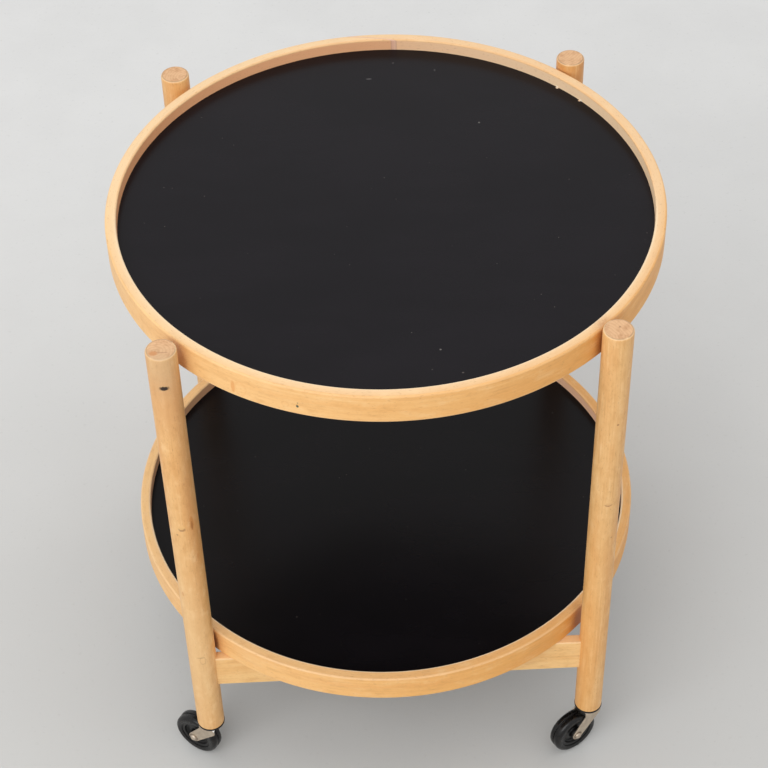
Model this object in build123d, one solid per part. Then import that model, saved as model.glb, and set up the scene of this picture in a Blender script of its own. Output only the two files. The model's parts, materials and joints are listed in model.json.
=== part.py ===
from build123d import *
import os
from math import acos, atan2, cos, hypot, sin, sqrt

# Round two-tier serving trolley, in millimetres.
# The origin is on the floor, midway between the four posts. +Z is up and the front faces -Y.

os.makedirs("parts", exist_ok=True)

# Tray sizes
tray_diameter = 600.0
rim_thickness = 12.0
rim_height = 35.0
rim_edge_round = 2.0
core_thickness = 5.4
laminate_thickness = 0.8
groove_depth = 5.0
groove_end_gap = 0.3
laminate_edge_gap = 0.2

# Post sizes
leg_diameter = 32.0
leg_projection = 8.0
leg_top_round = 2.5
leg_bottom_round = 1.5
tray_clearance = 5.0
tray_slide = 4.5

# Rail sizes
rail_thickness = 12.0
rail_height = 48.0
rail_edge_round = 1.5
tenon_length = 13.0
glue_gap = 0.1
lower_rail_rise = 76.0
tray_spacing = 451.0

# Caster socket sizes
flange_diameter = 32.8
flange_thickness = 2.2
sleeve_diameter = 11.0
sleeve_length = 36.0

# Caster fork and stem sizes
stem_diameter = 8.0
stem_overrun = 7.0
stem_head_diameter = 12.0
stem_head_height = 1.5
stem_tip_chamfer = 1.0
ring_groove_depth = 0.9
ring_height = 1.5
ring_stand = 0.7
ring_split = 2.0
ring_gap = 0.3
washer_diameter = 22.0
washer_thickness = 1.2
plate_thickness = 1.8
bend_radius = 1.2
crown_length = 22.0
skirt_height = 9.5
eye_radius = 6.8
wheel_trail = 21.5
fork_clearance = 4.6
swivel_gap = 0.15

# Caster wheel sizes
wheel_diameter = 58.0
tyre_width = 17.5
tyre_depth = 8.5
tyre_shoulder_round = 5.0
tread_groove_width = 3.0
tread_groove_depth = 1.4
core_rim_width = 14.0
core_rim_depth = 3.5
web_thickness = 6.0
hub_diameter = 16.0
bush_diameter = 9.0
axle_diameter = 6.0
axle_head_diameter = 8.4
axle_head_height = 2.6
axle_head_round = 2.2
tyre_side_gap = 0.75
hub_side_gap = 0.5
bush_side_gap = 0.2

# Fits of the turning and the pressed pieces, on the radius
running_fit = 0.07
rivet_fit = 0.05

# Where each post stands, and which way its caster trails at rest, in degrees about +Z
corner_sides = {
    "front_left": (-1, -1),
    "front_right": (1, -1),
    "rear_left": (-1, 1),
    "rear_right": (1, 1),
}
caster_headings = {
    "front_left": 146.0,
    "front_right": 211.0,
    "rear_left": 162.0,
    "rear_right": 196.0,
}

# Radii and places that follow from the sizes above
tray_radius = tray_diameter / 2
rim_inner_radius = tray_radius - rim_thickness
core_radius = rim_inner_radius + groove_depth - groove_end_gap
laminate_radius = rim_inner_radius - laminate_edge_gap
leg_radius = leg_diameter / 2
leg_offset = (tray_radius + tray_clearance + leg_radius) / sqrt(2)
stem_radius = stem_diameter / 2
sleeve_radius = sleeve_diameter / 2
wheel_radius = wheel_diameter / 2
axle_radius = axle_diameter / 2
fork_inner_half = tyre_width / 2 + tyre_side_gap
fork_outer_half = fork_inner_half + plate_thickness

# Heights above the floor, built up from the wheel
crown_underside = wheel_diameter + fork_clearance
crown_top = crown_underside + plate_thickness
flange_underside = crown_top + washer_thickness + swivel_gap
leg_bottom = flange_underside + flange_thickness
sleeve_top = leg_bottom + sleeve_length
stem_top = sleeve_top + stem_overrun
lower_rail_top = leg_bottom + lower_rail_rise + rail_height
upper_rail_top = lower_rail_top + tray_spacing
leg_top = upper_rail_top + rim_height + leg_projection


def upright(radius, bottom, top):
    """A round bar on the Z axis between two heights."""
    return Pos(0, 0, bottom) * Cylinder(radius, top - bottom, align=(Align.CENTER, Align.CENTER, Align.MIN))


def crossbar(radius, half_length):
    """A round bar on the Y axis, centred on the origin."""
    return Rot(90, 0, 0) * Cylinder(radius, 2 * half_length)


def tray_pieces(prefix, rest_height, slide):
    """A hoop grooved for a board at mid height, with laminate on both faces so that either can be used.

    The tray lies loose between the posts, slid this far to the right.
    """
    place = Pos(slide, 0, 0)
    middle = rest_height + rim_height / 2
    hoop = Pos(rim_inner_radius + rim_thickness / 2, middle) * RectangleRounded(
        rim_thickness, rim_height, rim_edge_round
    )
    groove = Pos(rim_inner_radius, middle) * Rectangle(2 * groove_depth, core_thickness)
    rim = revolve(Plane.XZ * (hoop - groove), Axis.Z)
    core_bottom = middle - core_thickness / 2
    core_top = middle + core_thickness / 2
    top_laminate = upright(laminate_radius, core_top, core_top + laminate_thickness)
    bottom_laminate = upright(laminate_radius, core_bottom - laminate_thickness, core_bottom)
    return {
        f"{prefix}_rim": place * rim,
        f"{prefix}_core": place * upright(core_radius, core_bottom, core_top),
        f"{prefix}_top_laminate": place * top_laminate,
        f"{prefix}_bottom_laminate": place * bottom_laminate,
    }


def slat(growth=0.0):
    """A rail along X with eased edges, centred on the origin; growth makes room for glue round it."""
    half_length = leg_offset - leg_radius + tenon_length + growth
    section = RectangleRounded(
        rail_thickness + 2 * growth, rail_height + 2 * growth, rail_edge_round + growth
    )
    return extrude(Plane.YZ * section, half_length, both=True)


def rails(growth=0.0):
    """Two rails across the front and back carry the lower tray, two along the sides the upper one."""
    lower_height = lower_rail_top - rail_height / 2
    upper_height = upper_rail_top - rail_height / 2
    across = slat(growth)
    along = Rot(0, 0, 90) * across
    return {
        "lower_rail_front": Pos(0, -leg_offset, lower_height) * across,
        "lower_rail_rear": Pos(0, leg_offset, lower_height) * across,
        "upper_rail_left": Pos(-leg_offset, 0, upper_height) * along,
        "upper_rail_right": Pos(leg_offset, 0, upper_height) * along,
    }


def leg(place, mortises):
    """A round post with softened ends, mortised for its two rails and bored for its caster."""
    post = upright(leg_radius, leg_bottom, leg_top)
    ends = post.edges().filter_by(GeomType.CIRCLE).sort_by(Axis.Z)
    post = fillet(ends[-1], leg_top_round)
    ends = post.edges().filter_by(GeomType.CIRCLE).sort_by(Axis.Z)
    post = fillet(ends[0], leg_bottom_round)
    post -= upright(sleeve_radius + glue_gap, leg_bottom, stem_top + stem_tip_chamfer)
    post = place * post
    for mortise in mortises:
        post -= mortise
    return post


def caster_socket():
    """A sleeve with a round flange, let into the end of a post."""
    flange = upright(flange_diameter / 2, flange_underside, leg_bottom)
    sleeve = upright(sleeve_radius, leg_bottom, sleeve_top)
    return flange + sleeve - upright(stem_radius + running_fit, flange_underside, sleeve_top)


def tangent_point(corner, side):
    """Where a straight edge from a corner of the skirt touches the eye round the axle."""
    reach = (corner[0] - wheel_trail, corner[1] - wheel_radius)
    bearing = atan2(reach[1], reach[0]) + side * acos(eye_radius / hypot(*reach))
    return (wheel_trail + eye_radius * cos(bearing), wheel_radius + eye_radius * sin(bearing))


def fork():
    """A pressed steel horn: a flat crown, bent down into two plates that narrow to the axle eyes."""
    skirt_bottom = crown_top - skirt_height
    lead_corner = (-crown_length / 2, skirt_bottom)
    trail_corner = (crown_length / 2, skirt_bottom)
    side_view = make_face(
        Polyline(
            (-crown_length / 2, crown_top),
            lead_corner,
            tangent_point(lead_corner, 1),
            tangent_point(trail_corner, -1),
            trail_corner,
            (crown_length / 2, crown_top),
            close=True,
        )
    )
    side_view += Pos(wheel_trail, wheel_radius) * Circle(eye_radius)
    horn = extrude(Plane.XZ * side_view, fork_outer_half, both=True)
    shoulders = horn.edges().filter_by(Axis.X).group_by(Axis.Z)[-1]
    horn = fillet(shoulders, plate_thickness + bend_radius)
    wheel_space = Pos(0, 0, crown_underside) * Box(
        2 * (crown_length + wheel_trail + wheel_diameter),
        2 * fork_inner_half,
        2 * wheel_diameter,
        align=(Align.CENTER, Align.CENTER, Align.MAX),
    )
    inner_bends = wheel_space.edges().filter_by(Axis.X).group_by(Axis.Z)[-1]
    horn -= fillet(inner_bends, bend_radius)
    horn -= upright(stem_radius + rivet_fit, crown_underside - bend_radius, crown_top + plate_thickness)
    return horn - Pos(wheel_trail, 0, wheel_radius) * crossbar(axle_radius + rivet_fit, 2 * fork_outer_half)


def stem():
    """The pin that turns in the socket, headed under the crown and grooved for its grip ring."""
    pin = upright(stem_radius, crown_underside, stem_top)
    tip = pin.edges().filter_by(GeomType.CIRCLE).sort_by(Axis.Z)[-1]
    pin = chamfer(tip, stem_tip_chamfer)
    pin += upright(stem_head_diameter / 2, crown_underside - stem_head_height, crown_underside)
    groove_top = sleeve_top + ring_height + 2 * ring_gap
    groove = upright(stem_diameter, sleeve_top, groove_top)
    return pin - (groove - upright(stem_radius - ring_groove_depth, sleeve_top, groove_top))


def grip_ring():
    """A split spring ring that sits in the stem's groove, above the end of the sleeve."""
    bottom = sleeve_top + ring_gap
    top = bottom + ring_height
    ring = upright(stem_radius + ring_stand, bottom, top)
    ring -= upright(stem_radius - ring_groove_depth + rivet_fit, bottom, top)
    split = Pos(0, 0, bottom) * Box(
        stem_diameter, ring_split, ring_height, align=(Align.MIN, Align.CENTER, Align.MIN)
    )
    return ring - split


def thrust_washer():
    """The ring that the socket's flange bears on while the fork turns."""
    washer_top = crown_top + washer_thickness
    return upright(washer_diameter / 2, crown_top, washer_top) - upright(
        stem_radius + running_fit, crown_top, washer_top
    )


def axle():
    """A rivet through both plates, with a domed head outside each."""
    shank = crossbar(axle_radius, fork_outer_half)
    head = Rot(90, 0, 0) * Cylinder(axle_head_diameter / 2, axle_head_height)
    outer_edge = head.edges().filter_by(GeomType.CIRCLE).sort_by(Axis.Y)[-1]
    head = fillet(outer_edge, axle_head_round)
    right_head = Pos(0, fork_outer_half + axle_head_height / 2, 0) * head
    return shank + right_head + Rot(0, 0, 180) * right_head


def tyre():
    """A round-shouldered tread with a groove round its middle."""
    inner_radius = wheel_radius - tyre_depth
    section = Pos(inner_radius + tyre_depth / 2, 0) * Rectangle(tyre_depth, tyre_width)
    section = fillet(section.vertices().group_by(Axis.X)[-1], tyre_shoulder_round)
    section -= Pos(wheel_radius, 0) * Rectangle(2 * tread_groove_depth, tread_groove_width)
    return revolve(section, Axis.Y)


def wheel_core():
    """A moulded wheel centre: a rim under the tyre, a thin web and a hub as wide as the fork allows."""
    rim_radius = wheel_radius - tyre_depth - rivet_fit
    rim = crossbar(rim_radius, core_rim_width / 2)
    rim -= crossbar(rim_radius - core_rim_depth, core_rim_width)
    web = crossbar(rim_radius - core_rim_depth / 2, web_thickness / 2)
    hub = crossbar(hub_diameter / 2, fork_inner_half - hub_side_gap)
    return rim + web + hub - crossbar(bush_diameter / 2 + rivet_fit, fork_inner_half)


def wheel_bush():
    """The steel tube in the hub that turns on the axle."""
    half_length = fork_inner_half - bush_side_gap
    return crossbar(bush_diameter / 2, half_length) - crossbar(axle_radius + running_fit, half_length)


def caster_pieces(corner):
    """One caster, with its swivel axis on Z and its wheel trailing towards +X."""
    hub_place = Pos(wheel_trail, 0, wheel_radius)
    return {
        f"caster_fork_{corner}": fork(),
        f"caster_stem_{corner}": stem(),
        f"caster_grip_ring_{corner}": grip_ring(),
        f"caster_thrust_washer_{corner}": thrust_washer(),
        f"caster_axle_{corner}": hub_place * axle(),
        f"wheel_tyre_{corner}": hub_place * tyre(),
        f"wheel_core_{corner}": hub_place * wheel_core(),
        f"wheel_bush_{corner}": hub_place * wheel_bush(),
    }


pieces = {}
pieces.update(tray_pieces("upper_tray", upper_rail_top, tray_slide))
pieces.update(tray_pieces("lower_tray", lower_rail_top, -tray_slide))
pieces.update(rails())
mortises = list(rails(glue_gap).values())
for corner, (side_x, side_y) in corner_sides.items():
    place = Pos(side_x * leg_offset, side_y * leg_offset, 0)
    pieces[f"leg_{corner}"] = leg(place, mortises)
    pieces[f"caster_socket_{corner}"] = place * caster_socket()
    for name, piece in caster_pieces(corner).items():
        pieces[name] = place * Rot(0, 0, caster_headings[corner]) * piece

for name, piece in pieces.items():
    export_step(piece, f"parts/{name}.step")
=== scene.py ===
# %% [markdown]
# # A round two-tier serving trolley
# Two black trays with bent wooden rims lie loose on the rails of four round posts, and every post ends in a
# small swivel caster. The solids are already right in size, so they are loaded as a fixed frame. This lesson
# gives each piece the surface that the eye expects: softer edges, grain that follows the timber, and wear.

# %% Load the frame
import bmesh
import bpy
import json
import numpy as np
from mathutils import Matrix, Vector


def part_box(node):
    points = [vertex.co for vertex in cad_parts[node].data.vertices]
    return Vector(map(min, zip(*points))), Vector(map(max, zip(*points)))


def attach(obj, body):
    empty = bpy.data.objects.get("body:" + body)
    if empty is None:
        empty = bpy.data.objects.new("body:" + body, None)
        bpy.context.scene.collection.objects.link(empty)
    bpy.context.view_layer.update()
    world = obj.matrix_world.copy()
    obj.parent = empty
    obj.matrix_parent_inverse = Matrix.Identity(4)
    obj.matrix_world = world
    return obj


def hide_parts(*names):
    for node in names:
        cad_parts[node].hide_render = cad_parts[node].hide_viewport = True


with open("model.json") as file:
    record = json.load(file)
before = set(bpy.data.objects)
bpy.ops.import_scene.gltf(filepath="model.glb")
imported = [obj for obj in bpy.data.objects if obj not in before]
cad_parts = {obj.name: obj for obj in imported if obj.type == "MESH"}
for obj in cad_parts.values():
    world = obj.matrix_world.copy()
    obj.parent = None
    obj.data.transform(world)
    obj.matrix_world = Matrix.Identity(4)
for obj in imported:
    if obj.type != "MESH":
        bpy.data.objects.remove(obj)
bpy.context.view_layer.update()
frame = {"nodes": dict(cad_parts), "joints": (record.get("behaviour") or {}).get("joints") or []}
mm = 0.001

# %% [markdown]
# ## Camera
# The photograph looks down on the trolley from the front, at 45 degrees, through a fairly long lens. A camera
# could be aimed by eye, but a place, three angles and a focal length were fitted to the ellipses of the trays
# and the ends of the posts, so these numbers are turned into a matrix.

# %% Set the camera
picture_pixels = 768
focal_pixels = 2041.5
sensor_width = 36.0
camera_place = Vector((-0.037, -1.6852, 2.0824))
heading, dip, roll = np.radians((1.166, 45.002, -1.703))

forward = Vector((np.sin(heading) * np.cos(dip), np.cos(heading) * np.cos(dip), -np.sin(dip)))
level_right = Vector((np.cos(heading), -np.sin(heading), 0))
level_up = level_right.cross(forward)
right = np.cos(roll) * level_right + np.sin(roll) * level_up
up = np.cos(roll) * level_up - np.sin(roll) * level_right

camera = bpy.data.objects.new("camera", bpy.data.cameras.new("camera"))
bpy.context.collection.objects.link(camera)
camera.data.sensor_width = sensor_width
camera.data.lens = focal_pixels / picture_pixels * sensor_width
turn = Matrix((right, up, -forward)).transposed().to_4x4()
camera.matrix_world = Matrix.Translation(camera_place) @ turn
bpy.context.scene.camera = camera
print("lens in millimetres:", round(camera.data.lens, 1))

# %% [markdown]
# ## Finishes as expressions
# A material in Blender is a net of nodes, and wiring one by hand takes many lines. Here a socket is wrapped
# in a small class, so that `1 - mask` or `ring / spacing` adds the Math nodes by itself, and one method makes
# every other node. Colours are written as a screen shows them and turned into light once.

# %% Wrap a socket
class Wire:
    """A value on its way through a finish: arithmetic on it adds Math nodes."""

    def __init__(self, finish, socket):
        self.finish = finish
        self.socket = socket

    def math(self, operation, *values):
        return self.finish.node("ShaderNodeMath", {"operation": operation}, dict(enumerate(values)))

    def __add__(self, other):
        return self.math("ADD", self, other)

    def __sub__(self, other):
        return self.math("SUBTRACT", self, other)

    def __rsub__(self, other):
        return self.math("SUBTRACT", other, self)

    def __mul__(self, other):
        return self.math("MULTIPLY", self, other)

    def __truediv__(self, other):
        return self.math("DIVIDE", self, other)

    __radd__ = __add__
    __rmul__ = __mul__

    def fraction(self):
        return self.math("FRACT", self)

    def size(self):
        return self.math("ABSOLUTE", self)

    def at_most(self, other):
        return self.math("MINIMUM", self, other)


# %% Wrap a material
class Finish:
    """A material under one Principled shader, with its fixed values set on the shader itself."""

    def __init__(self, name, fixed=None):
        self.material = bpy.data.materials.new(name)
        self.material.use_nodes = True
        self.tree = self.material.node_tree
        self.shader = self.tree.nodes["Principled BSDF"]
        self.wire_up(self.shader, fixed or {})

    def wire_up(self, node, sockets):
        for socket, value in sockets.items():
            if isinstance(value, Wire):
                self.tree.links.new(value.socket, node.inputs[socket])
            else:
                node.inputs[socket].default_value = value

    def node(self, kind, settings=None, sockets=None, output=0):
        """Any node: its type, its settings, then the values or links of its sockets."""
        node = self.tree.nodes.new(kind)
        for setting, value in (settings or {}).items():
            setattr(node, setting, value)
        self.wire_up(node, sockets or {})
        return Wire(self, node.outputs[output])

    def place(self):
        return self.node("ShaderNodeTexCoord", output="Object")

    def attribute(self, name, output):
        return self.node("ShaderNodeAttribute", {"attribute_name": name}, output=output)

    def scaled(self, vector, factors):
        return self.node("ShaderNodeVectorMath", {"operation": "MULTIPLY"}, {0: vector, 1: factors})

    def shifted(self, vector, offset):
        return self.node("ShaderNodeVectorMath", {"operation": "SUBTRACT"}, {0: vector, 1: offset})

    def length(self, vector):
        return self.node("ShaderNodeVectorMath", {"operation": "LENGTH"}, {0: vector}, "Value")

    def noise(self, vector, scale=1.0, detail=2.0, roughness=0.5):
        sockets = {"Vector": vector, "Scale": scale, "Detail": detail, "Roughness": roughness}
        return self.node("ShaderNodeTexNoise", None, sockets)

    def cells(self, vector, scale=1.0):
        return self.node("ShaderNodeTexVoronoi", None, {"Vector": vector, "Scale": scale})

    def ramp(self, value, start, end):
        """Nought below start, one above end and an easy curve between; it falls if start is above end."""
        settings = {"interpolation_type": "SMOOTHSTEP"}
        sockets = {0: value, 1: min(start, end), 2: max(start, end)}
        rising = self.node("ShaderNodeMapRange", settings, sockets)
        return rising if start < end else 1 - rising

    def blend(self, share, first, second):
        return self.node("ShaderNodeMix", {"data_type": "RGBA"}, {0: share, 6: first, 7: second}, 2)

    def bump(self, height, depth):
        return self.node("ShaderNodeBump", None, {"Height": height, "Distance": depth})

    def surface(self, **sockets):
        names = {"colour": "Base Color", "roughness": "Roughness", "metal": "Metallic", "normal": "Normal"}
        self.wire_up(self.shader, {names[key]: value for key, value in sockets.items()})
        print("finish:", self.material.name, "with", len(self.tree.nodes), "nodes")
        return self


# %% Turn screen colours into light
def shown(red, green, blue):
    """A colour given as a screen shows it, from 0 to 255, as the linear light that Blender mixes."""
    screen = np.array((red, green, blue)) / 255
    light = np.where(screen > 0.04045, ((screen + 0.055) / 1.055) ** 2.4, screen / 12.92)
    return (*light.tolist(), 1.0)


print("light of a middle grey:", round(shown(128, 128, 128)[0], 3))

# %% [markdown]
# ## Floor and light
# The trolley stands on a plain pale floor, painted a little paler towards the back as painted light, in soft
# light from the front left. One sun would draw hard shadows, so a large square lamp there, a weaker one
# overhead and a white surrounding share the work. Together they give a level at which a colour renders about
# as it is written.

# %% Lay the floor
floor_radius = 9.0
floor_columns = 64
floor_turn = np.linspace(0, 2 * np.pi, floor_columns, endpoint=False)
floor_edge = np.stack((np.cos(floor_turn), np.sin(floor_turn), 0 * floor_turn), axis=1) * floor_radius
floor_mesh = bpy.data.meshes.new("floor")
floor_mesh.from_pydata(floor_edge.tolist(), [], [list(range(floor_columns))])
floor = bpy.data.objects.new("floor", floor_mesh)
bpy.context.collection.objects.link(floor)

screed = Finish("pale_floor")
cloud = screed.noise(screed.place(), 5.0, 5.0, 0.6)
speck = screed.noise(screed.place(), 160.0, 3.0, 0.6)
backward = screed.node("ShaderNodeSeparateXYZ", None, {0: screed.place()}, "Y")
# Painted light: the floor is paler towards the back.
screed_colour = screed.blend(screed.ramp(backward, -0.5, 1.4), shown(203, 203, 201), shown(227, 227, 226))
screed_colour = screed.blend(screed.ramp(cloud, 0.3, 0.7) * 0.15, screed_colour, shown(196, 196, 195))
screed_colour = screed.blend(screed.ramp(speck, 0.60, 0.75) * 0.25, screed_colour, shown(184, 183, 180))
screed.surface(colour=screed_colour, roughness=0.75)
floor_mesh.materials.append(screed.material)

# %% Hang the lamps
def lamp(name, place, aim, width, power):
    """A square lamp whose light leaves it towards a point."""
    light = bpy.data.lights.new(name, "AREA")
    light.size = width
    light.energy = power
    holder = bpy.data.objects.new(name, light)
    holder.location = place
    holder.rotation_euler = (Vector(aim) - Vector(place)).to_track_quat("-Z", "Y").to_euler()
    bpy.context.collection.objects.link(holder)
    print("lamp:", name, power, "watts")


lamp("key", place=(-1.4, -2.2, 2.1), aim=(0, 0, 0.4), width=2.4, power=41)
lamp("overhead", place=(0.0, 0.3, 3.4), aim=(0, 0, 0.3), width=2.6, power=9)

surround_strength = 0.82
surroundings = bpy.data.worlds.new("surroundings")
surroundings.use_nodes = True
background = surroundings.node_tree.nodes["Background"]
background.inputs["Color"].default_value = (1, 1, 1, 1)
background.inputs["Strength"].default_value = surround_strength
bpy.context.scene.world = surroundings
bpy.context.scene.view_settings.view_transform = "Standard"

# %% [markdown]
# ## Surfaces from grids
# Almost every piece here is a profile carried round an axis or along a line, so one helper turns a grid of
# points into a closed mesh. A box with modifiers would be quicker to type, but a grid lets each corner of
# each face carry extra values, such as its place in the straight plank that a bent rim was made from.

# %% Join the points of a grid
def tube_faces(rows, columns, ring):
    """Faces of a tube of points: each row closes on itself, and a ring's last row joins its first.

    An open tube gets a flat face at each end. The row and column of every corner are counted on past the
    seam instead of starting again at nought, so that a value can run on up to the seam.
    """
    row, column = np.meshgrid(np.arange(rows if ring else rows - 1), np.arange(columns), indexing="ij")
    corner_rows = np.stack((row, row, row + 1, row + 1), axis=-1).ravel()
    corner_columns = np.stack((column, column + 1, column + 1, column), axis=-1).ravel()
    faces = (corner_rows % rows * columns + corner_columns % columns).reshape(-1, 4).tolist()
    if not ring:
        around = np.arange(columns)
        first, last = around[::-1], around
        faces += [first.tolist(), ((rows - 1) * columns + last).tolist()]
        corner_rows = np.concatenate((corner_rows, 0 * first, 0 * last + rows - 1))
        corner_columns = np.concatenate((corner_columns, first, last))
    return faces, corner_rows, corner_columns


def run_on(points, ring):
    """The grid with its first column repeated after its last, and a ring's first row as well."""
    rows, columns = points.shape[:2]
    points = np.take(points, np.arange(columns + 1) % columns, axis=1)
    return np.take(points, np.arange(rows + ring) % rows, axis=0)


print("faces of an open square tube:", len(tube_faces(2, 4, False)[0]))

# %% Turn a grid of points into a piece
crease = np.radians(38)
cubic_centimetre = (10 * mm) ** 3


def add_piece(name, points, ring, finish, body, nodes, values=None):
    """A closed mesh of a grid of points, which rides on a body and stands for solids of the frame."""
    faces, corner_rows, corner_columns = tube_faces(*points.shape[:2], ring)
    mesh = bpy.data.meshes.new(name)
    mesh.from_pydata(points.reshape(-1, 3).tolist(), [], faces)
    for attribute, grid in (values or {}).items():
        kind, field = ("FLOAT_VECTOR", "vector") if grid.ndim == 3 else ("FLOAT", "value")
        layer = mesh.attributes.new(attribute, kind, "CORNER")
        corners = grid[corner_rows, corner_columns].astype(np.float32)
        layer.data.foreach_set(field, corners.ravel())
    mesh.polygons.foreach_set("use_smooth", np.ones(len(mesh.polygons), bool))
    mesh.set_sharp_from_angle(angle=crease)
    mesh.materials.append(finish.material)
    piece = bpy.data.objects.new(name, mesh)
    bpy.context.collection.objects.link(piece)
    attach(piece, body)
    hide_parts(*nodes)
    shape = bmesh.new()
    shape.from_mesh(mesh)
    volume = shape.calc_volume(signed=True) / cubic_centimetre
    shape.free()
    print("piece:", name, len(faces), "faces,", round(volume, 1), "cubic centimetres")


# %% Round the corners of an outline
arc_steps = 6


def rounded_outline(corners, radii, hold=0.15 * mm):
    """A closed outline with an arc at each corner and a point just before and after it.

    The arc of radius r at a corner that turns by angle t starts r * tan(t / 2) before the corner. The extra
    points keep the flat stretches flat when the faces are shaded smoothly.
    """
    corners = np.array(corners, float)
    radii = np.broadcast_to(np.array(radii, float), len(corners))[:, None, None]
    arriving = corners - np.roll(corners, 1, axis=0)
    arriving /= np.linalg.norm(arriving, axis=1, keepdims=True)
    leaving = np.roll(arriving, -1, axis=0)
    cross = arriving[:, 0] * leaving[:, 1] - arriving[:, 1] * leaving[:, 0]
    turned = np.arctan2(cross, (arriving * leaving).sum(axis=1))
    reach = radii * np.abs(np.tan(turned / 2))[:, None, None]
    inward = np.stack((-arriving[:, 1], arriving[:, 0]), axis=1) * np.sign(cross)[:, None]
    start = corners[:, None, :] - reach * arriving[:, None, :]
    swept = np.linspace(0, 1, arc_steps)[None, :] * np.abs(turned)[:, None]
    along = np.sin(swept)[..., None] * arriving[:, None, :]
    across = (1 - np.cos(swept))[..., None] * inward[:, None, :]
    arc = start + radii * (along + across)
    before = arc[:, :1] - hold * arriving[:, None, :]
    after = arc[:, -1:] + hold * leaving[:, None, :]
    return np.concatenate((before, arc, after), axis=1).reshape(-1, 2)


def round_outline(corner_values):
    """A value for each point of a rounded outline: three for each corner, before, on and after its arc."""
    before, arc, after = np.array(corner_values, float).T[..., None]
    return np.concatenate((before, np.repeat(arc, arc_steps, axis=1), after), axis=1).ravel()


square_corners = np.array([(-1, -1), (1, -1), (1, 1), (-1, 1)])
print("points round a soft square:", len(rounded_outline(square_corners, 0.1)))

# %% Turn a profile round an axis
def lathe(profile, columns, centre=(0, 0, 0), axis=(0, 0, 1), spoke=(1, 0, 0)):
    """A profile of (radius, distance along the axis) turned round an axis through a centre."""
    axis, spoke = np.array(axis, float), np.array(spoke, float)
    angle = np.linspace(0, 2 * np.pi, columns, endpoint=False)[None, :, None]
    ray = np.cos(angle) * spoke + np.sin(angle) * np.cross(axis, spoke)
    radius, along = profile[:, None, None, 0], profile[:, None, None, 1]
    return np.array(centre) + radius * ray + along * axis


# %% [markdown]
# ## Beech
# Posts, rails and rims are one pale wood under an old clear finish. A picture of wood could be wrapped round
# them, but then the end of a post would not match its side. So the finish is a solid: each corner carries its
# place in a straight plank, where growth rings are circles round the pith, streaks and blotches are stretched
# along the plank, and short dark flecks lie among them. Edges are paler, partly from wear and partly as
# painted highlight and sheen, which also pales the tops of rims and rails, and cut ends are browner. A bent
# hoop also has a glued joint and an inner wall of its own colour, darkened on the left as painted shade, and
# the hoop is tinted from left to right as painted light and shade: paler on the lit left, more orange on the
# shaded right.
# Over all this lie a piece's own marks: knots, stains, dents, and on the rims painted shadow of the posts.

# %% Lay marks over a finish
ragged_scale, ragged_share = 700.0, 0.7
mark_edges = {"spot": (1.1, 0.65), "shade": (1.5, 0.2), "ring": (0.26, 0.08)}


def mark_mask(finish, centre, radii, kind):
    """One inside a slightly ragged ellipsoid and nought outside.

    The reach is nought at the centre and one on the outline, plus noise. A spot is one up to near the
    outline, a shade fades out slowly from the centre, and a ring is one along the outline alone.
    """
    offset = finish.shifted(finish.place(), centre)
    reach = finish.length(finish.scaled(offset, tuple(1 / (radius * mm) for radius in radii)))
    reach = reach + (finish.noise(finish.place(), ragged_scale) - 0.5) * ragged_share
    if kind == "ring":
        reach = (reach - 1).size()
    return finish.ramp(reach, *mark_edges[kind])


def marked(finish, colour, marks):
    """The colour with marks over it: a centre, radii in millimetres, a colour, a strength and a kind each."""
    for centre, radii, mark_colour, strength, kind in marks:
        colour = finish.blend(mark_mask(finish, centre, radii, kind) * strength, colour, mark_colour)
    return colour


print("kinds of mark:", *mark_edges)

# %% Glue a hoop's joint
joint_red, joint_pink, joint_line = shown(226, 150, 98), shown(228, 184, 168), shown(176, 118, 84)


def glued_joint(wood, colour, wall, whole_turn):
    """A hoop's joint: a redder wall on one side of it, a pale pinkish overlap and a thin line on each edge.

    The distance from the joint runs along the strip, up to a whole turn on its other side.
    """
    along = wood.attribute("from_joint", "Fac")
    nearest = along.at_most(whole_turn - along)
    redder = wood.ramp(along, 240 * mm, 20 * mm)
    overlap = wood.ramp(nearest, 4.4 * mm, 2.2 * mm)
    line = wood.ramp((nearest - 3.0 * mm).size(), 1.2 * mm, 0.3 * mm)
    colour = wood.blend(redder * wall * 0.4, colour, joint_red)
    colour = wood.blend(overlap * 0.6, colour, joint_pink)
    return wood.blend(line * 0.25, colour, joint_line)


# %% Mix the beech finish
ring_spacing = 3.4 * mm
deep_tone, bright_tone = shown(205, 147, 82), shown(246, 206, 150)
fleck_brown, pale_wear_and_light = shown(166, 106, 54), shown(248, 222, 184)
lit_pale, shaded_orange = shown(247, 205, 147), shown(230, 160, 76)
end_pale, end_brown, end_grime = shown(225, 180, 136), shown(184, 128, 84), shown(142, 106, 78)


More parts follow.
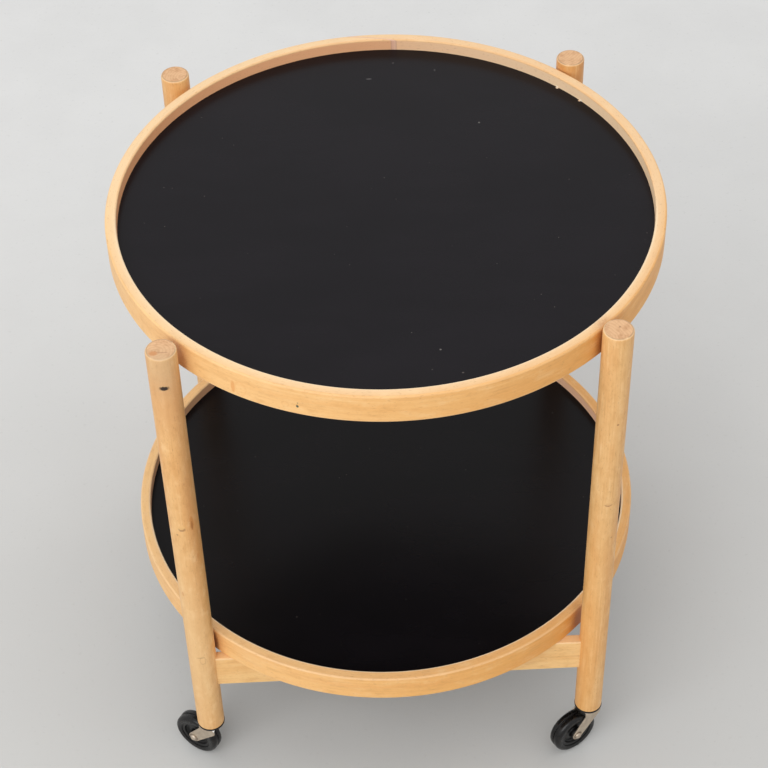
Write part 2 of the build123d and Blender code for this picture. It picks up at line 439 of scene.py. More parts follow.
def beech(name, pale, warm, marks=(), streaks=0.3, blotches=0.3, hoop=None):
    """Beech of two tones with marks; a hoop adds a joint, and inner wall and tint with painted light and
    shade.

    The distance from the pith, bent by noise, gives the rings: its remainder over the spacing is nought on
    early wood and rises to one on late wood.
    """
    wood = Finish(name, {"IOR": 1.46})
    grain = wood.attribute("grain", "Vector")
    end = wood.attribute("end_grain", "Fac")
    edge = wood.attribute("worn_edge", "Fac")
    wall = wood.attribute("bare_wall", "Fac")
    drift = wood.noise(wood.scaled(grain, (3.5, 22, 22)))
    wobble = wood.noise(wood.scaled(grain, (12, 170, 170)))
    ring = wood.length(wood.scaled(grain, (0, 1, 1))) + drift * (9 * mm) + wobble * (3.5 * mm)
    ring = (ring / ring_spacing).fraction()
    late = wood.ramp(ring, 0.35, 0.95) * wood.ramp(ring, 1.0, 0.92)
    patch = wood.noise(wood.scaled(grain, (6, 60, 60)), 1.0, 3.0)
    blotch = wood.noise(wood.scaled(grain, (55, 125, 125)), 1.0, 3.0, 0.6)
    streak = wood.noise(wood.scaled(grain, (16, 430, 430)), 1.0, 3.0, 0.6)
    fibre = wood.noise(wood.scaled(grain, (40, 2400, 2400)))
    fleck = wood.ramp(wood.noise(wood.scaled(grain, (200, 1000, 1000)), 1.0, 1.0), 0.62, 0.74)
    colour = wood.blend(wood.ramp(patch, 0.35, 0.65), pale, warm)
    # Painted light and shade: a hoop is paler on its lit left and more orange on its shaded right.
    if hoop:
        rightward = wood.node("ShaderNodeSeparateXYZ", None, {0: wood.place()}, "X")
        to_right = wood.ramp(rightward, -0.28, 0.28)
        colour = wood.blend(hoop["sunned"], colour, wood.blend(to_right, lit_pale, shaded_orange))
    colour = wood.blend(late * 0.08, colour, deep_tone)
    for pattern, gap, share in ((blotch, 0.0, blotches), (streak, 0.02, streaks)):
        colour = wood.blend(wood.ramp(pattern, 0.50 + gap, 0.72 + gap) * share, colour, deep_tone)
        colour = wood.blend(wood.ramp(pattern, 0.50 - gap, 0.28 - gap) * share, colour, bright_tone)
    # Painted shade: the inner wall runs from a darker tone on the left to a paler one on the right.
    if hoop:
        colour = wood.blend(wall * 0.85, colour, wood.blend(to_right, *hoop["walls"]))
    # Paler where edges are worn, and as painted highlight and sheen on rim edges and tops and painted light
    # on rail tops.
    colour = wood.blend(edge * 0.9, colour, pale_wear_and_light)
    colour = wood.blend(fleck * 0.34 * (1 - end), colour, fleck_brown)
    cut_face = wood.ramp(end, 0.75, 0.95)
    cut_colour = wood.blend(late * 0.27 + wood.ramp(blotch, 0.42, 0.7) * 0.55, end_pale, end_brown)
    grime = wood.ramp(end, 0.3, 0.55) * wood.ramp(end, 1.0, 0.9) * wood.ramp(patch, 0.3, 0.5)
    colour = wood.blend(wood.ramp(end, 0.02, 0.2) * 0.4, colour, pale_wear_and_light)
    colour = wood.blend(cut_face * 0.92, colour, cut_colour)
    colour = wood.blend(grime * 0.5, colour, end_grime)
    if hoop:
        colour = glued_joint(wood, colour, wall, hoop["turn"])
    colour = marked(wood, colour, marks)
    roughness = 0.42 + fibre * 0.10 + cut_face * 0.15
    relief = wood.bump(fibre * 0.6 + late * 0.3 - fleck * 0.2, 0.05 * mm)
    return wood.surface(colour=colour, roughness=roughness, normal=relief)


# %% [markdown]
# ## Posts
# Each post is a turned rod with a softened top and foot. A cylinder with a bevel would do, but real rods are
# never quite round, so the radius here also drifts by up to a tenth of a millimetre, and the end grain on top
# is slightly dished. The two front posts have marks of their own: a knot, stains, dents and scratches, and
# broad tints that make parts of a side paler, darker or more orange.

# %% Mark the front posts
def on_side(node, bearing, share, height):
    """The point of a round solid at a bearing from +X, in degrees, a share of the way out, and a height."""
    low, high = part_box(node)
    out = share * (high.x - low.x) / 2
    turn = np.radians(bearing)
    middle_x, middle_y = (low.x + high.x) / 2, (low.y + high.y) / 2
    return (middle_x + out * np.cos(turn), middle_y + out * np.sin(turn), height)


def on_post(corner, bearing, drop, share=1.0):
    """The point of a post at a bearing and so many millimetres below its top."""
    node = f"leg_{corner}"
    return on_side(node, bearing, share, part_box(node)[1].z - drop * mm)


def placed(on_piece, piece, rows):
    """Marks of rows that give a place on a piece, radii, a screen colour, a strength and a kind each."""
    return [
        (on_piece(piece, *place), radii, shown(*colour), strength, kind)
        for place, radii, colour, strength, kind in rows
    ]


front_left_marks = placed(on_post, "front_left", (
    # The first two marks make the post paler low on its front left and darker higher up on its front right.
    ((-115.0, 470.0), (17, 17, 170), (234, 198, 146), 0.50, "shade"),
    ((-40.0, 205.0), (9, 9, 120), (182, 108, 45), 0.35, "shade"),
    ((-90.0, 55.0), (20, 20, 55), (208, 150, 98), 0.50, "shade"),
    ((-90.0, 10.0), (20, 20, 40), (196, 168, 132), 0.40, "shade"),
    ((-87.9, 39.2), (6.0, 6, 3.2), (128, 97, 64), 0.80, "spot"),
    ((-88.9, 39.4), (4.4, 6, 3.0), (36, 22, 12), 0.97, "spot"),
    ((-95.4, 253.2), (4.4, 6, 3.6), (140, 92, 52), 0.65, "spot"),
    ((-96.4, 250.4), (4.2, 6, 3.6), (231, 182, 118), 0.90, "spot"),
    ((-53.1, 246.4), (2.7, 2.7, 12), (198, 126, 54), 0.75, "spot"),
    ((-53.1, 250.0), (1.3, 1.3, 7), (150, 92, 40), 0.60, "spot"),
    ((-116.6, 263.0), (1.4, 1.4, 1.4), (136, 92, 56), 0.60, "spot"),
    ((-44.0, 302.5), (2.2, 2.2, 5), (204, 138, 76), 0.60, "spot"),
    ((-130.9, 365.5), (2.0, 2.0, 4), (204, 140, 82), 0.55, "spot"),
    ((-83.0, 483.0), (3.2, 6, 6.5), (172, 122, 76), 0.25, "ring"),
    ((-92.0, 478.0), (5.0, 6, 1.0), (172, 124, 78), 0.40, "spot"),
    ((-143.3, 0.0, 0.56), (4.8, 3.6, 3), (200, 132, 76), 0.70, "spot"),
    ((-70.0, 0.0, 0.30), (6.5, 0.7, 3), (168, 116, 82), 0.60, "spot"),
))
front_right_marks = placed(on_post, "front_right", (
    # The first mark makes the post more orange low on its front left.
    ((-135.0, 500.0), (16, 16, 190), (238, 166, 80), 0.40, "shade"),
    ((-84.0, 244.8), (4.4, 6, 2.4), (160, 100, 56), 0.75, "spot"),
    ((-84.0, 243.2), (4.6, 6, 2.4), (228, 179, 119), 0.90, "spot"),
    ((-73.8, 121.4), (1.3, 1.3, 1.6), (160, 108, 62), 0.70, "spot"),
    ((-60.0, 300.0), (1.0, 1.0, 1.2), (150, 100, 58), 0.60, "spot"),
    ((67.4, 0.0, 0.24), (1.1, 0.9, 2), (146, 98, 70), 0.80, "spot"),
))
print("marks on the front posts:", len(front_left_marks), "and", len(front_right_marks))

# %% Turn the posts
post_columns = 96
post_rows = 200
post_top_round = 2.5 * mm
post_foot_round = 1.5 * mm
post_dish = 0.25 * mm
post_pole = 0.6 * mm
face_rows = 10
two_lobes, three_lobes = 0.06 * mm, 0.04 * mm
post_pale, post_warm = shown(231, 182, 120), shown(226, 170, 106)
plain_post = beech("beech_post", post_pale, post_warm)
brown_post = beech("beech_post_rr", shown(222, 164, 98), shown(212, 150, 86))
left_post = beech("beech_post_fl", post_pale, post_warm, front_left_marks, 0.25, 0.45)
right_post = beech("beech_post_fr", post_pale, post_warm, front_right_marks, 0.5, 0.35)
posts = {
    "front_left": (left_post, 5 * mm, 3 * mm),
    "front_right": (right_post, 38 * mm, 21 * mm),
    "rear_left": (plain_post, -13 * mm, 6 * mm),
    "rear_right": (brown_post, 26 * mm, -30 * mm),
}


def post_profile(radius, foot, head):
    """Radius and height from the foot's edge up the side, over the rounded top and in towards the middle.

    Foot and top are quarter circles, and the end is a bowl whose depth falls with the square of the radius.
    The last column is nought on long grain and one on end grain.
    """
    quarter = np.linspace(0, np.pi / 2, arc_steps)
    foot_radius = radius - post_foot_round * (1 - np.sin(quarter))
    foot_height = foot + post_foot_round * (1 - np.cos(quarter))
    side_height = np.linspace(foot + 2 * post_foot_round, head - 1.2 * post_top_round, post_rows)
    top_radius = radius - post_top_round * (1 - np.cos(quarter))
    top_height = head - post_top_round * (1 - np.sin(quarter))
    face_radius = np.linspace(radius - 1.08 * post_top_round, post_pole, face_rows)
    face_height = head - post_dish * (1 - (face_radius / face_radius[0]) ** 2)
    radii = np.concatenate((foot_radius, 0 * side_height + radius, top_radius, face_radius))
    heights = np.concatenate((foot_height, side_height, top_height, face_height))
    ends = np.concatenate((0 * foot_radius, 0 * side_height, np.sin(quarter) ** 4, 0 * face_radius + 1))
    return np.stack((radii, heights, ends), axis=1)


def post_points(profile, centre):
    """The profile turned about its centre, out of round by two sines of the angle that climb the post."""
    points = lathe(profile, post_columns, centre)
    angle = np.linspace(0, 2 * np.pi, post_columns, endpoint=False)[None, :]
    height = profile[:, 1:2]
    wave = two_lobes * np.sin(2 * angle + 7 * height) + three_lobes * np.sin(3 * angle - 15 * height)
    stretch = 1 + wave / profile[:, 0].max()
    points[..., :2] = centre[:2] + (points[..., :2] - centre[:2]) * stretch[..., None]
    return points


for corner, (finish, pith_across, pith_depth) in posts.items():
    low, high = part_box(f"leg_{corner}")
    middle = np.array(on_side(f"leg_{corner}", bearing=0, share=0, height=0))
    profile = post_profile((high.x - low.x) / 2, low.z, high.z)
    points = post_points(profile, middle)
    local = run_on(points, False) - middle
    grain = np.stack((local[..., 2], local[..., 0] + pith_across, local[..., 1] + pith_depth), axis=-1)
    end_grain = np.repeat(profile[:, 2:], post_columns + 1, axis=1)
    values = {"grain": grain, "end_grain": end_grain}
    add_piece(f"post_{corner}", points, False, finish, "frame", [f"leg_{corner}"], values)

# %% [markdown]
# ## Rails
# Flat slats join the posts: two across, low down, for the lower tray, and two along the sides for the upper
# one. Their ends go into mortises, so only the length between the posts shows. A box would do, but a rounded
# rectangle carried along each in many steps lets the long edges bow by a hair. The tops are painted paler as
# painted light, and the edges are paler too.

# %% Plane the rails
rail_edge_round = 1.6 * mm
rail_rows = 40
rail_bow = 0.15 * mm
rail_pith = 12 * mm
# The rail tops are painted paler as painted light; the edges are paler too.
rail_wear_and_light = round_outline([(0, 0.4, 0), (0, 0.4, 0), (0, 0.4, 0.35), (0.35, 0.4, 0)])
rail_finish = beech("beech_rail", shown(243, 197, 132), shown(237, 184, 116))
rails = {"lower_rail_front": 0.031, "lower_rail_rear": 0.044, "upper_rail_left": 0.057,
         "upper_rail_right": 0.026}

for rail, plank_offset in rails.items():
    low, high = (np.array(corner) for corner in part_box(rail))
    along = 0 if high[0] - low[0] > high[1] - low[1] else 1
    across = 1 - along
    centre, half = (low + high) / 2, (high - low) / 2
    wide = half[across] * (across - along)
    section = rounded_outline(square_corners * (wide, half[2]), rail_edge_round)
    reach = np.linspace(-half[along], half[along], rail_rows)
    bow = rail_bow * np.sin(reach * 23 + plank_offset * 100)
    points = np.zeros((rail_rows, len(section), 3))
    points[..., along] = reach[:, None]
    points[..., across] = section[None, :, 0] + bow[:, None]
    points[..., 2] = section[None, :, 1]
    local = run_on(points, False)
    plank_place = (local[..., along], local[..., across] + plank_offset, local[..., 2] + rail_pith)
    grain = np.stack(plank_place, axis=-1)
    around = np.arange(len(section) + 1) % len(section)
    worn_edge = np.tile(rail_wear_and_light[around], (rail_rows, 1))
    values = {"grain": grain, "worn_edge": worn_edge}
    slat = rail.replace("rail", "slat")
    add_piece(slat, points + centre, False, rail_finish, "frame", [rail], values)

# %% [markdown]
# ## Tray rims
# A rim is a strip of beech bent into a hoop, with its two ends cut on a long slope and glued over each other.
# A torus with a square section would show no joint. So the columns of this grid slant through the thickness
# of the strip, and the seam between the last and the first is the glued slope itself: the grain stops there
# and starts again. Beside the front posts a rim carries painted shadow and shade of the posts. Its edges and
# top are paler, partly from wear and partly as painted highlight and sheen: brightest on the inner edge in
# front, and behind fainter and spread over its top.

# %% Mark the rims
rim_middle_radius = 294 * mm
rim_turn = 2 * np.pi * rim_middle_radius
upper_pale, upper_warm = shown(238, 184, 113), shown(231, 170, 95)
lower_pale, lower_warm = shown(241, 176, 86), shown(234, 161, 72)
# A hoop's tint share from left to right is painted light and shade; its two wall tones hold the wall's own
# colour, with painted shade darkening the left.
upper_hoop = {"turn": rim_turn, "sunned": 0.5, "walls": (shown(250, 178, 130), shown(255, 225, 188))}
lower_hoop = {"turn": rim_turn, "sunned": 0.6, "walls": (shown(193, 145, 114), shown(255, 206, 174))}


def on_rim(tier, bearing, rise, share=1.0):
    """The point of a rim at a bearing and so many millimetres above its lower edge."""
    node = f"{tier}_tray_rim"
    return on_side(node, bearing, share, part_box(node)[0].z + rise * mm)


upper_rim_marks = placed(on_rim, "upper", (
    ((-122.7, 12.4), (2.6, 2.6, 9), (222, 146, 72), 0.60, "spot"),
    ((-121.0, 13.0), (6.0, 6.0, 9), (226, 158, 88), 0.20, "ring"),
    ((-109.2, 11.4), (1.5, 1.5, 2.0), (52, 74, 56), 0.95, "spot"),
    ((-109.1, 15.8), (0.9, 0.9, 1.4), (150, 130, 88), 0.70, "spot"),
    ((-111.6, 11.0), (3.6, 3.6, 3.2), (214, 150, 86), 0.25, "ring"),
    # The next two marks are painted shadow and shade of the front posts on the rim.
    ((-137.0, 9.0), (17, 17, 25), (190, 128, 82), 0.60, "spot"),
    ((-45.0, 12.0), (14, 14, 28), (152, 74, 18), 0.75, "shade"),
    ((37.1, 21.6, 0.961), (2.4, 2.4, 1.4), (252, 240, 222), 0.95, "spot"),
    ((44.5, 21.6, 0.961), (1.9, 1.9, 1.2), (252, 240, 222), 0.95, "spot"),
))
upper_rim_finish = beech("beech_upper_rim", upper_pale, upper_warm, upper_rim_marks, 0.25, 0.3, upper_hoop)
lower_rim_marks = placed(on_rim, "lower", (
    # Both marks are painted shadow and shade of the front posts on the rim.
    ((-134.5, 12.0), (11, 11, 24), (130, 66, 20), 0.80, "spot"),
    ((-44.0, 12.0), (13, 13, 26), (150, 78, 26), 0.75, "shade"),
))
lower_rim_finish = beech("beech_lower_rim", lower_pale, lower_warm, lower_rim_marks, 0.25, 0.3, lower_hoop)
print("marks on the rims:", len(upper_rim_marks), "and", len(lower_rim_marks))

# %% Bend the rims
rim_columns = 720
rim_edge_round = 2.0 * mm
crisp_round = 0.2 * mm
scarf_slope = 5.0
rim_thickness = 12 * mm
groove_end_gap = 0.3 * mm
rim_pith = 46 * mm
slow_sway, quick_sway = 0.12 * mm, 0.07 * mm
sides_line, sides_fade = 0.1, 0.3
inner_wear = [(0, 0.2, 0), (0, 0, 0), (0, 0, 0), (0, 0.2, 0)]
# Paleness of a rim's edges and top, in front and behind: partly wear, partly painted highlight and sheen,
# brightest on the inner edge in front.
upper_front = round_outline([(0.1, 0.25, 0), (0, 0.15, 0.35), (0.7, 1, 0), *inner_wear, (0, 0.3, 0.1)])
upper_rear = round_outline([(0.1, 0.25, 0), (0, 0.45, 0.6), (0.6, 0.3, 0), *inner_wear, (0, 0.3, 0.1)])
lower_front = round_outline([(0, 0.1, 0), (0, 0.3, 0.15), (0.2, 0.9, 0), *inner_wear, (0, 0.1, 0)])
lower_rear = round_outline([(0, 0.1, 0), (0, 0.3, 0.15), (0.15, 0.2, 0), *inner_wear, (0, 0.1, 0)])
rim_wall = round_outline([
    (0, 0, 0), (0, 0, 0), (0, 0.2, 1), (1, 1, 0), (0, 0, 0), (0, 0, 0), (0, 1, 1), (1, 0.2, 0),
])
rims = {
    "upper": (upper_rim_finish, np.radians(91.5), upper_front, upper_rear),
    "lower": (lower_rim_finish, np.radians(104.0), lower_front, lower_rear),
}


def rim_section(inner, outer, low, high, core_low, core_high, groove):
    """The strip's cut end: a rectangle with soft edges and a groove for the board in its inner face."""
    corners = [
        (outer, low), (outer, high), (inner, high), (inner, core_high),
        (groove, core_high), (groove, core_low), (inner, core_low), (inner, low),
    ]
    soft = np.array((1, 1, 1, 0, 0, 0, 0, 1))
    return rounded_outline(corners, np.where(soft, rim_edge_round, crisp_round))


for tier, (finish, seam_angle, front_wear_and_light, rear_wear_and_light) in rims.items():
    low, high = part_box(f"{tier}_tray_rim")
    core_low, core_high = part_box(f"{tier}_tray_core")
    outer = (high.x - low.x) / 2
    groove = (core_high.x - core_low.x) / 2 + groove_end_gap
    section = rim_section(outer - rim_thickness, outer, low.z, high.z, core_low.z, core_high.z, groove)
    slant = scarf_slope * (section[:, :1] / rim_middle_radius - 1)
    step = 2 * np.pi * np.arange(rim_columns + 1)[None, :] / rim_columns
    angle = seam_angle + slant + step
    sway = slow_sway * np.sin(3 * step + 1) + quick_sway * np.sin(8 * step + 2)
    radius = section[:, :1] + sway - sway.max()
    height = np.broadcast_to(section[:, 1:], radius.shape)
    points = np.stack((radius * np.cos(angle), radius * np.sin(angle), height), axis=-1)
    points[..., 0] += (low.x + high.x) / 2
    along = rim_middle_radius * (slant + step)
    across = np.broadcast_to(section[:, :1] - rim_middle_radius + rim_pith, radius.shape)
    grain = np.stack((along, across, height - low.z), axis=-1)
    from_joint = rim_middle_radius * np.broadcast_to(step, radius.shape)
    in_front = np.clip((sides_line - np.sin(angle)) / sides_fade, 0, 1)
    worn_edge = rear_wear_and_light[:, None] + (front_wear_and_light - rear_wear_and_light)[:, None] * in_front
    bare_wall = np.repeat(rim_wall[:, None], rim_columns + 1, axis=1)
    values = {"grain": grain, "from_joint": from_joint, "worn_edge": worn_edge, "bare_wall": bare_wall}
    rows = np.arange(len(section) + 1) % len(section)
    values = {name: grid[rows] for name, grid in values.items()}
    add_piece(f"{tier}_rim", points[:, :-1], True, finish, f"{tier}_tray",
              [f"{tier}_tray_rim"], values)

# %% [markdown]
# ## Tray boards
# Each board is faced with thin black laminate, smooth but not polished, so it mirrors a blurred ghost of the
# rim. Years of glasses and dusters leave faint wipe marks, a fine haze and specks. The discs are already
# right, so they only get the finish: near black, broken by these three, each at its own scale. The upper one
# also has two pale chips at its edge and some larger specks of its own.

# %% Mix the laminate
def on_board(tier, across, back):
    """The point of a tray's top face so many millimetres to the right of its middle and behind it."""
    low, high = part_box(f"{tier}_tray_top_laminate")
    return ((low.x + high.x) / 2 + across * mm, (low.y + high.y) / 2 + back * mm, high.z)


def laminate(name, index, black, wiped, marks=()):
    """Satin black laminate: wipes change colour and gloss, haze colour and relief, and specks colour."""
    face = Finish(name, {"IOR": index})
    place = face.place()
    wipe = face.noise(face.scaled(place, (6, 14, 1)), 1.0, 3.0, 0.6)
    haze = face.noise(place, 900.0, 2.0, 0.6)
    speck = face.ramp(face.cells(place, 95.0), 0.09, 0.03)
    rare = face.ramp(face.noise(place, 31.0, 1.0), 0.60, 0.68)
    colour = face.blend(face.ramp(wipe, 0.3, 0.75), black, wiped)
    colour = face.blend(face.ramp(haze, 0.5, 0.8) * 0.2, colour, shown(34, 32, 33))
    colour = face.blend(speck * rare * 0.35, colour, shown(120, 114, 108))
    colour = marked(face, colour, marks)
    roughness = 0.24 + wipe * 0.06
    return face.surface(colour=colour, roughness=roughness, normal=face.bump(haze, 0.02 * mm))


# %% Face the boards
board_core = Finish("board_core")
strand = board_core.noise(board_core.place(), 420.0, 3.0, 0.6)
board_colour = board_core.blend(board_core.ramp(strand, 0.3, 0.7), shown(148, 118, 84), shown(120, 92, 62))
board_core.surface(colour=board_colour, roughness=0.8, normal=board_core.bump(strand, 0.2 * mm))

upper_board_marks = placed(on_board, "upper", (
    ((205.3, 200.3), (2.0, 2.0, 2), (236, 216, 190), 0.90, "spot"),
    ((228.0, 174.2), (1.6, 1.6, 2), (232, 204, 170), 0.85, "spot"),
    ((-9.6, 231.7), (3.6, 1.2, 2), (92, 90, 90), 0.75, "spot"),
    ((19.7, 260.7), (1.4, 1.4, 2), (76, 74, 72), 0.60, "spot"),
    ((67.2, 243.7), (1.2, 2.4, 2), (72, 70, 70), 0.60, "spot"),
    ((111.3, 141.8), (1.1, 1.4, 2), (110, 106, 102), 0.80, "spot"),
    ((45.7, -222.0), (1.2, 1.2, 2), (112, 108, 104), 0.80, "spot"),
    ((65.9, -256.0), (1.4, 1.0, 2), (96, 88, 84), 0.70, "spot"),
))
upper_face = laminate("laminate_upper", 1.27, shown(12, 8, 14), shown(17, 13, 19), upper_board_marks)
# The lower board's copy is a little darker and mirrors less than the upper one, as painted shade under the
# upper tray.
lower_face = laminate("laminate_lower", 1.24, shown(10, 8, 10), shown(14, 11, 14))
for tier, face in (("upper", upper_face), ("lower", lower_face)):
    for node in (f"{tier}_tray_top_laminate", f"{tier}_tray_bottom_laminate"):
        frame["nodes"][node].material_slots[0].material = face.material
    frame["nodes"][f"{tier}_tray_core"].material_slots[0].material = board_core.material
    print("faced:", tier, "board")

# %% [markdown]
# ## Caster finishes
# The wheels are black throughout, tyre and moulded centre, and greyer where they are scuffed. The horns are
# plated steel gone warm and matt with age, and the sockets under the posts are blackened. All are random
# patterns at different scales; what differs is how much of them reaches the colour or the gloss. A horn's
# steel has marks of its own, a dark ring at its rivet and a painted glint on its crown, so it is mixed
# further down, where the horn is pressed.

# %% Mix the metals and blacks
def steel(name, colour_from, colour_to, roughness, marks=()):
    """Old plated steel: cloudy plating, fine rolling lines and small dull spots."""
    metal = Finish(name)
    place = metal.place()
    cloud = metal.noise(place, 130.0, 4.0, 0.6)
    line = metal.noise(metal.scaled(place, (900, 900, 5200)))
    spot = metal.ramp(metal.cells(place, 420.0), 0.22, 0.1) * metal.ramp(cloud, 0.5, 0.65)
    colour = metal.blend(metal.ramp(cloud, 0.3, 0.7), colour_from, colour_to)
    colour = metal.blend(spot * 0.5, colour, shown(120, 92, 70))
    colour = marked(metal, colour, marks)
    gloss = roughness + cloud * 0.18 + spot * 0.2
    relief = metal.bump(line * 0.5 - spot, 0.03 * mm)
    return metal.surface(colour=colour, roughness=gloss, metal=0.85 - spot * 0.5, normal=relief)


def black(name, base, worn, roughness, scale):
    """A black moulding or rubber, greyer where it is scuffed."""
    mould = Finish(name, {"IOR": 1.42})
    place = mould.place()
    cloud = mould.noise(place, scale, 4.0, 0.65)
    pore = mould.noise(place, scale * 14)
    scuff = mould.ramp(cloud, 0.48, 0.75)
    colour = mould.blend(scuff * 0.7, base, worn)
    return mould.surface(colour=colour, roughness=roughness + scuff * 0.2, normal=mould.bump(pore, 0.04 * mm))


pin_steel = steel("pin_steel", shown(206, 192, 174), shown(184, 168, 152), 0.30)
black_steel = black("black_steel", shown(14, 13, 13), shown(30, 28, 28), 0.45, 260.0)
tyre_rubber = black("tyre_rubber", shown(13, 12, 13), shown(36, 33, 32), 0.25, 120.0)
wheel_plastic = black("wheel_plastic", shown(12, 11, 12), shown(30, 26, 24), 0.30, 150.0)

# %% [markdown]
# ## Casters
# Four small casters, each turned its own way. The frame's joints say where every swivel and axle is, so a
# caster's directions are read from them. Turned pieces are profiles round the axle or the swivel. The horn
# could be cut from a block, but a real one is pressed from sheet steel, so here a strip's section is carried
# up one plate, over the crown and down again.

# %% Read the casters' places
joints = {joint["name"]: joint for joint in frame["joints"]}


def caster_axes(corner):
    """The swivel's foot on the floor, the way the wheel trails, the way its axle points, and its hub."""
    swivel = np.array(joints[f"caster_swivel_{corner}"]["pos_m"]) * (1, 1, 0)
    hub = np.array(joints[f"wheel_spin_{corner}"]["pos_m"])
    trail = (hub - swivel) * (1, 1, 0)
    trail = trail / np.linalg.norm(trail)
    axle = np.cross((0, 0, 1), trail)
    return swivel, trail, axle, hub


for corner in posts:
    swivel, trail, axle, hub = caster_axes(corner)
    print("caster:", corner, "trails at", round(float(np.degrees(np.arctan2(trail[1], trail[0])))), "degrees")

# %% Mould the wheels and tyres
wheel_columns = 144
tyre_half_width = 8.75 * mm
tyre_bore = 20.5 * mm
core_outer = 20.45 * mm
bush_radius = 4.55 * mm
hub_half_width = 9.0 * mm
fine_hold = 0.05 * mm


def tyre_section(wheel_radius):
    """A tread of two round beads with a groove between them, and a raised ring on each side."""
    half, groove = tyre_half_width, 1.5 * mm
    side = [(tyre_bore, half - 1.0 * mm), (22.2 * mm, half - 0.4 * mm), (23.4 * mm, half - 0.4 * mm),
            (24.0 * mm, half), (wheel_radius, half), (wheel_radius, groove)]
    rounds = [0.3 * mm, 0.4 * mm, 0.3 * mm, 0.3 * mm, 4.6 * mm, 0.7 * mm]
    lower = [(radius, -along) for radius, along in side]
    bed = [(wheel_radius - 1.4 * mm, -0.9 * mm), (wheel_radius - 1.4 * mm, 0.9 * mm)]
    bed_rounds = [0.5 * mm] * 2
    return rounded_outline(lower + bed + side[::-1], rounds + bed_rounds + rounds[::-1], fine_hold)


def core_section():
    """Half a wheel centre: a hub, a dished web and a rim, mirrored to the other half."""
    half = [(bush_radius, hub_half_width), (7.4 * mm, hub_half_width), (8.0 * mm, 4.0 * mm),
            (15.6 * mm, 3.2 * mm), (16.8 * mm, 6.6 * mm), (core_outer, 7.0 * mm)]
    rounds = [0.2 * mm, 0.7 * mm, 1.2 * mm, 1.6 * mm, 0.6 * mm, 0.4 * mm]
    outline = [(radius, -along) for radius, along in half] + half[::-1]
    return rounded_outline(outline, rounds + rounds[::-1], fine_hold)


for corner in posts:
    swivel, trail, axle, hub = caster_axes(corner)
    tyre_points = lathe(tyre_section(hub[2]), wheel_columns, hub, axle, trail)
    add_piece(f"tyre_{corner}", tyre_points, True, tyre_rubber, f"wheel_{corner}",
              [f"wheel_tyre_{corner}"])
    core_points = lathe(core_section(), wheel_columns, hub, axle, trail)
    add_piece(f"wheel_centre_{corner}", core_points, True, wheel_plastic, f"wheel_{corner}",
              [f"wheel_core_{corner}"])

# %% Bend the strip of a horn
half_plate = 0.9 * mm
plate_ease = 0.45 * mm
plate_middle = 10.4 * mm
plate_outside = plate_middle + half_plate
bend_middle = 2.1 * mm
crown_half_length = 11.0 * mm
skirt_height = 9.5 * mm
plate_rows, bend_rows = 60, 9
eye_tip = 0.02 * mm


def horn_path(eye_bottom, crown_middle):
    """Places along the strip's middle, seen along the wheel: from one eye over the crown to the other.

    The rows crowd at both ends of a plate, where its outline curves. Then come a quarter circle and the
    crown, and the other half mirrors the first. The lean is the angle that the strip has turned by.
    """
    eased = (1 - np.cos(np.linspace(0, np.pi, plate_rows))) / 2
    first, last = eye_bottom + eye_tip, crown_middle - bend_middle
    plate_height = first + (last - first) * eased
    quarter = np.linspace(0, np.pi / 2, bend_rows)[1:]
    bend_side = -plate_middle + bend_middle * (1 - np.cos(quarter))
    bend_height = crown_middle - bend_middle * (1 - np.sin(quarter))
    side = np.concatenate((0 * plate_height - plate_middle, bend_side))
    height = np.concatenate((plate_height, bend_height))
    lean = np.concatenate((0 * plate_height, quarter))
    return (
        np.concatenate((side, -side[::-1])),
        np.concatenate((height, height[::-1])),
        np.concatenate((lean, np.pi - lean[::-1])),
    )


print("horn plates:", round(2 * plate_outside / mm, 1), "millimetres over both")

# %% Cut the edges of a horn
def touch_point(corner, eye, eye_radius, turn):
    """Where a straight edge from a corner of the skirt touches the eye, on the side that turn says."""
    reach = np.array(corner) - eye
    bearing = np.arctan2(reach[1], reach[0]) + turn * np.arccos(eye_radius / np.linalg.norm(reach))
    return eye + eye_radius * np.array((np.cos(bearing), np.sin(bearing)))


def horn_edges(height, eye, eye_radius, skirt_bottom):
    """How far the plate reaches ahead of and behind the swivel at each height.

    Above the skirt the edges are upright. Below it they run straight to the round eye, and follow it.
    """
    lead_touch = touch_point((-crown_half_length, skirt_bottom), eye, eye_radius, 1)
    trail_touch = touch_point((crown_half_length, skirt_bottom), eye, eye_radius, -1)
    inside = np.sqrt(np.maximum(eye_radius**2 - (height - eye[1]) ** 2, 0))
    lead = np.interp(height, (lead_touch[1], skirt_bottom), (lead_touch[0], -crown_half_length))
    back = np.interp(height, (trail_touch[1], skirt_bottom), (trail_touch[0], crown_half_length))
    lead = np.where(height < lead_touch[1], eye[0] - inside, lead)
    back = np.where(height < trail_touch[1], eye[0] + inside, back)
    return lead, back


# %% Press the horns
horn_bright, horn_dull = shown(208, 194, 174), shown(192, 176, 158)
horn_roughness = 0.36


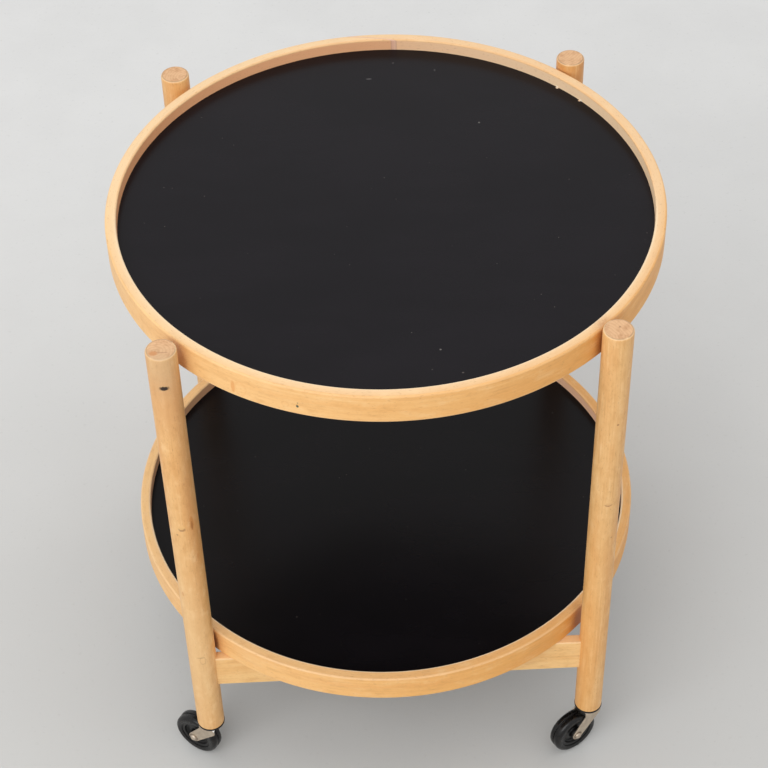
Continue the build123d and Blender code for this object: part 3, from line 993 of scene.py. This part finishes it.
def horn_points(corner):
    """The strip's section at every place on its path: a square with eased corners, drawn out lengthwise."""
    swivel, trail, axle, hub = caster_axes(corner)
    low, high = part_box(f"caster_fork_{corner}")
    eye = np.array((np.linalg.norm((hub - swivel)[:2]), hub[2]))
    side, height, lean = horn_path(low.z, high.z - half_plate)
    lead, back = horn_edges(height, eye, hub[2] - low.z, high.z - skirt_height)
    square = rounded_outline(square_corners * half_plate, plate_ease, fine_hold)[None]
    half_length = ((back - lead) / 2)[:, None]
    narrow = np.minimum(half_length / half_plate, 1)
    drawn = np.sign(square[..., 0]) * np.maximum(half_length - half_plate, 0)
    along_trail = (lead + back)[:, None] / 2 + square[..., 0] * narrow + drawn
    along_axle = side[:, None] - np.cos(lean)[:, None] * square[..., 1]
    upward = height[:, None] + np.sin(lean)[:, None] * square[..., 1]
    points = along_trail[..., None] * trail + along_axle[..., None] * axle
    return swivel + points + upward[..., None] * np.array((0, 0, 1))


def horn_marks(corner):
    """A dark ring round the rivet on both plates, and a painted glint on a corner of the crown."""
    swivel, trail, axle, hub = caster_axes(corner)
    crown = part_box(f"caster_fork_{corner}")[1].z
    # A painted glint: a small bright spot on a corner of the crown, where it would catch the light.
    painted_glint = swivel - crown_half_length * trail + plate_middle * axle + (0, 0, crown - 1.2 * mm)
    rings = [
        (tuple(hub + side * plate_outside * axle), (5.0, 5.0, 5.0), shown(84, 66, 54), 0.60, "ring")
        for side in (-1, 1)
    ]
    return [*rings, (tuple(painted_glint), (2.8, 2.8, 1.8), shown(255, 253, 249), 0.95, "spot")]


for corner in posts:
    fork_steel = steel(f"fork_steel_{corner}", horn_bright, horn_dull, horn_roughness, horn_marks(corner))
    add_piece(f"horn_{corner}", horn_points(corner), False, fork_steel, f"caster_{corner}",
              [f"caster_fork_{corner}"])

# %% Head the axles and sockets
rivet_columns, socket_columns = 48, 96
dome_rows = 9
head_radius, head_height, head_round = 4.2 * mm, 2.6 * mm, 2.2 * mm
shank_radius = 3.0 * mm
dimple_radius, dimple_depth = 1.1 * mm, 0.3 * mm
socket_bore, socket_sleeve = 4.07 * mm, 5.5 * mm
flange_round = 0.9 * mm


def axle_profile():
    """Radius and place along a rivet, from the dimple in one head over its dome and shank to the other."""
    bearing = np.linspace(0, np.pi / 2, dome_rows)
    top = plate_outside + head_height
    dome_radius = head_radius - head_round * (1 - np.sin(bearing))
    dome_along = top - head_round * (1 - np.cos(bearing))
    radius = np.concatenate(((0.3 * mm, dimple_radius, 1.3 * dimple_radius), dome_radius,
                             (head_radius, shank_radius)))
    along = np.concatenate(((top - dimple_depth, top - dimple_depth, top), dome_along,
                            (plate_outside, plate_outside)))
    half = np.stack((radius, along), axis=1)
    return np.concatenate((half * (1, -1), half[::-1]))


for corner in posts:
    swivel, trail, axle, hub = caster_axes(corner)
    add_piece(f"rivet_{corner}", lathe(axle_profile(), rivet_columns, hub, axle, trail), False, pin_steel,
              f"caster_{corner}", [f"caster_axle_{corner}"])
    low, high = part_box(f"caster_socket_{corner}")
    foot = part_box(f"leg_{corner}")[0].z
    flange = (high.x - low.x) / 2
    outline = [(socket_bore, low.z), (flange, low.z), (flange, foot), (socket_sleeve, foot),
               (socket_sleeve, high.z), (socket_bore, high.z)]
    rounds = [0.2 * mm, flange_round, flange_round, 0.1 * mm, 0.2 * mm, 0.2 * mm]
    socket_points = lathe(rounded_outline(outline, rounds, fine_hold), socket_columns, swivel)
    add_piece(f"socket_{corner}", socket_points, True, black_steel, "frame",
              [f"caster_socket_{corner}"])
    for small in ("caster_stem", "caster_grip_ring", "caster_thrust_washer", "wheel_bush"):
        frame["nodes"][f"{small}_{corner}"].material_slots[0].material = pin_steel.material
